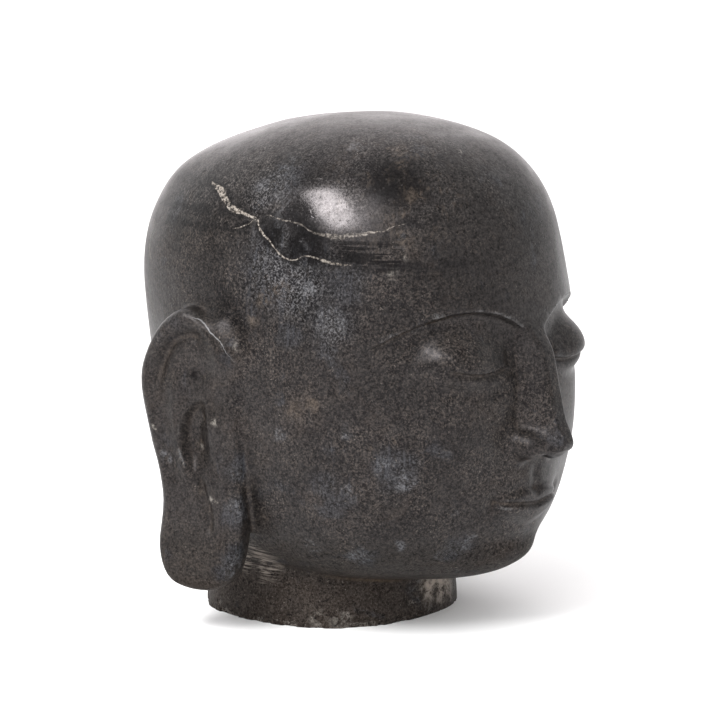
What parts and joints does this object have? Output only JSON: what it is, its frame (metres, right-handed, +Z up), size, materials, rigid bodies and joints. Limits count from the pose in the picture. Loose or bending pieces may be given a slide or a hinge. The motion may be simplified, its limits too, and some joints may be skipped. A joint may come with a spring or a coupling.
{
  "type": "marble monk head",
  "caption": "Carved dark marble head of a bald monk with long ear lobes, on its short neck, cut flat below so that it stands by itself.",
  "frame": {"origin": "middle of the neck's flat underside", "axes": "+Z up, the face looks along -Y, +X is the head's left"},
  "size_m": [0.2888, 0.3168, 0.331],
  "materials": {
    "dark_marble": "near-black grey marble, rubbed smooth to a satin gloss, with pale veins, fine light specks and a brownish and bluish grey patina"
  },
  "bodies": {
    "root": {"monk_head": "dark_marble"}
  },
  "joints": []
}
